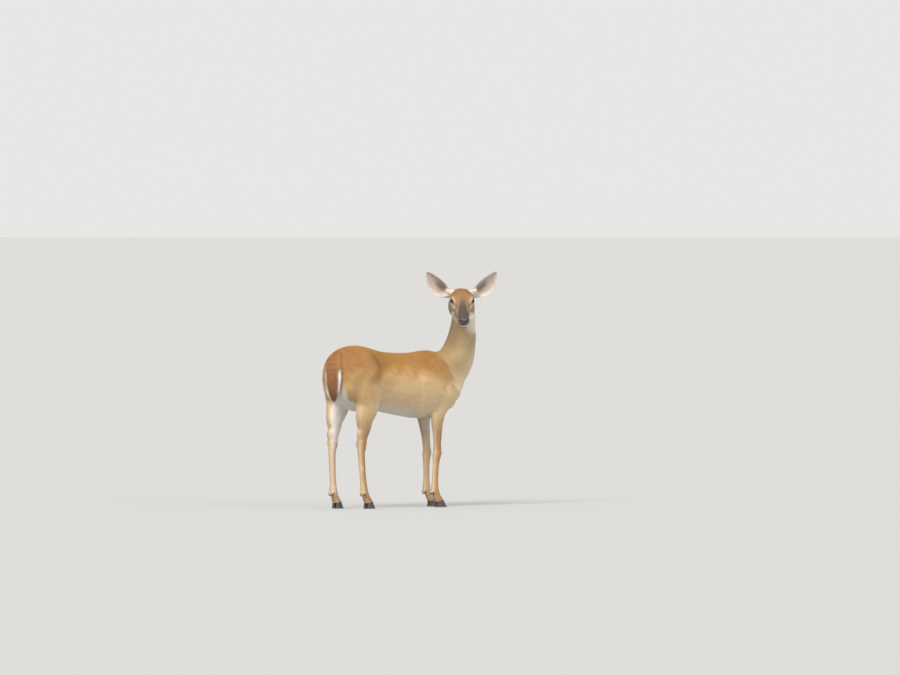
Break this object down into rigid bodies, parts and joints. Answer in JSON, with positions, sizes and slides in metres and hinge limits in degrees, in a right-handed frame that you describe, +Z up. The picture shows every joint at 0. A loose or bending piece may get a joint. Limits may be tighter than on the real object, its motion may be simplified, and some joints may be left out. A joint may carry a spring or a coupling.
{
  "type": "white-tailed deer",
  "caption": "Life-size doe in her reddish summer coat, standing and looking back over her right shoulder, with broad cupped ears and a hanging tail.",
  "frame": {"origin": "centre of the animal's bounding box, on the ground under the hooves", "axes": "+Z up; +X the way the trunk points, +Y to her left, and the head is turned back towards -Y"},
  "size_m": [1.0246, 0.4028, 1.2261],
  "materials": {
    "coat": "short reddish summer hair",
    "coat_pale": "short tan hair",
    "ear": "thin skin with short hair",
    "eye": "wet and glossy",
    "nose": "moist bare skin",
    "hoof": "dull horn"
  },
  "bodies": {
    "root": {"trunk": "coat", "neck": "coat_pale", "head": "coat", "ear_left": "ear", "eye_left": "eye", "ear_right": "ear", "eye_right": "eye", "nose": "nose", "tail": "coat", "foreleg_left_upper": "coat_pale", "foreleg_left_lower": "coat_pale", "forehoof_left_left_claw": "hoof", "forehoof_left_right_claw": "hoof", "foreleg_right_upper": "coat_pale", "foreleg_right_lower": "coat_pale", "forehoof_right_left_claw": "hoof", "forehoof_right_right_claw": "hoof", "hindleg_left_upper": "coat_pale", "hindleg_left_lower": "coat_pale", "hindhoof_left_left_claw": "hoof", "hindhoof_left_right_claw": "hoof", "hindleg_right_upper": "coat_pale", "hindleg_right_lower": "coat_pale", "hindhoof_right_left_claw": "hoof", "hindhoof_right_right_claw": "hoof"}
  },
  "joints": []
}
